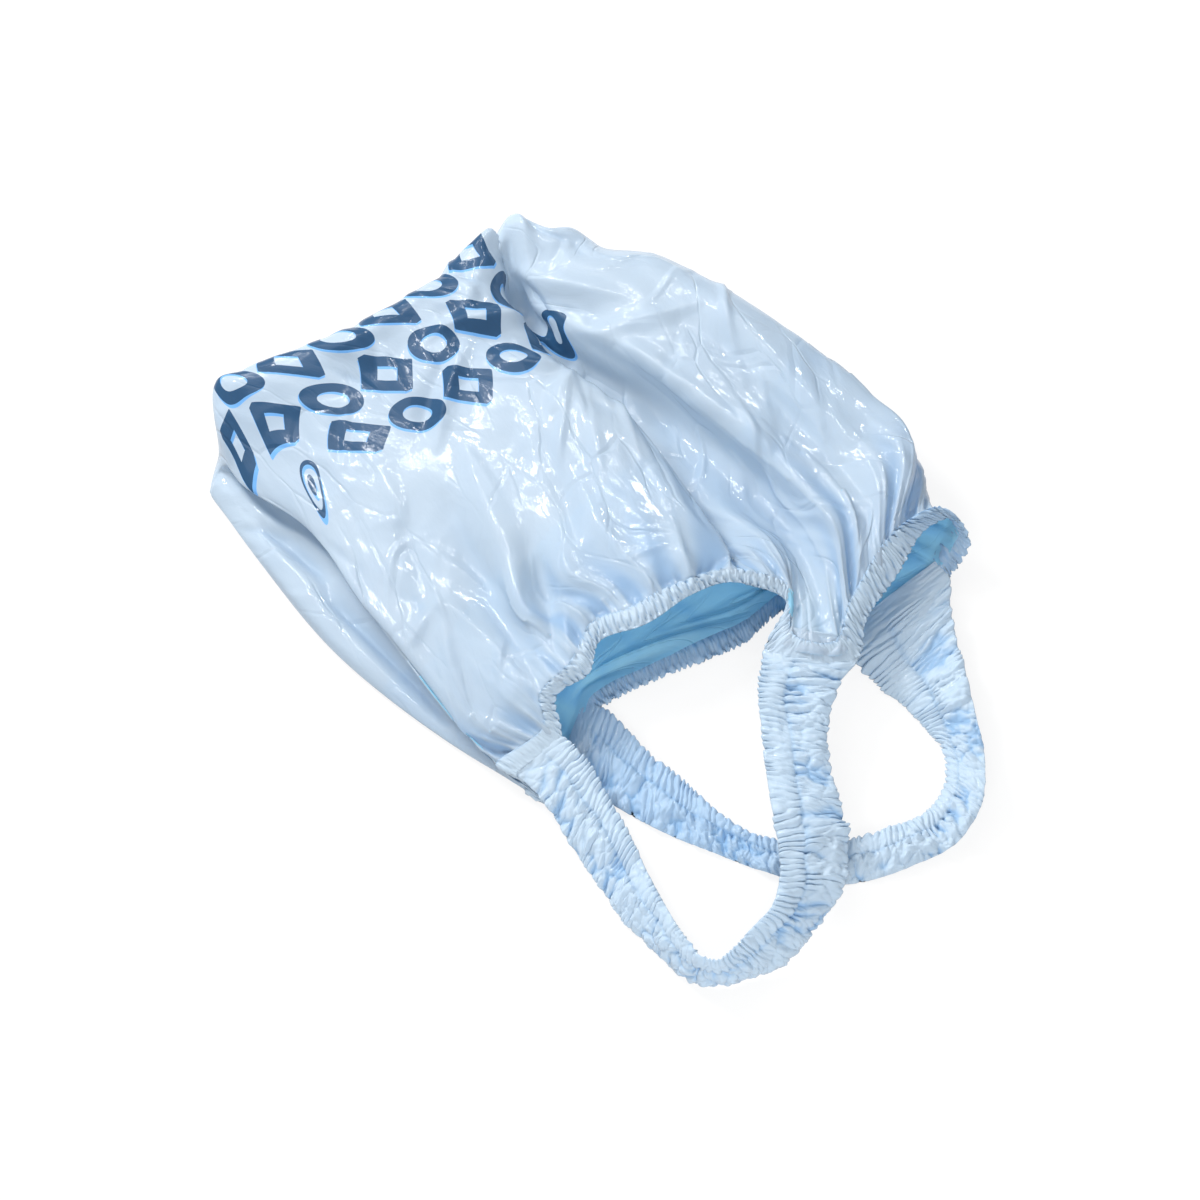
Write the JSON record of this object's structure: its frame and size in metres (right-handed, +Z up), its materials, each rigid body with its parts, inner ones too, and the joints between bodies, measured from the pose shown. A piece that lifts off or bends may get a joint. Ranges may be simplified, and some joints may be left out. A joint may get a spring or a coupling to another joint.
{
  "type": "plastic carrier bag",
  "caption": "Glossy coated-film carrier bag with gathered elastic hems and two gathered loop handles, lying crumpled on a surface.",
  "frame": {"origin": "middle of the bag's base on the surface that it lies on", "axes": "+Z up from the surface, +Y away from the viewer towards the closed end, +X to the viewer's right"},
  "size_m": [0.617, 0.7114, 0.0635],
  "materials": {
    "film": "glossy light blue coated film",
    "strap_film": "gathered light blue coated film"
  },
  "bodies": {
    "root": {"bag_body": "film", "front_handle": "strap_film", "rear_handle": "strap_film"}
  },
  "joints": []
}
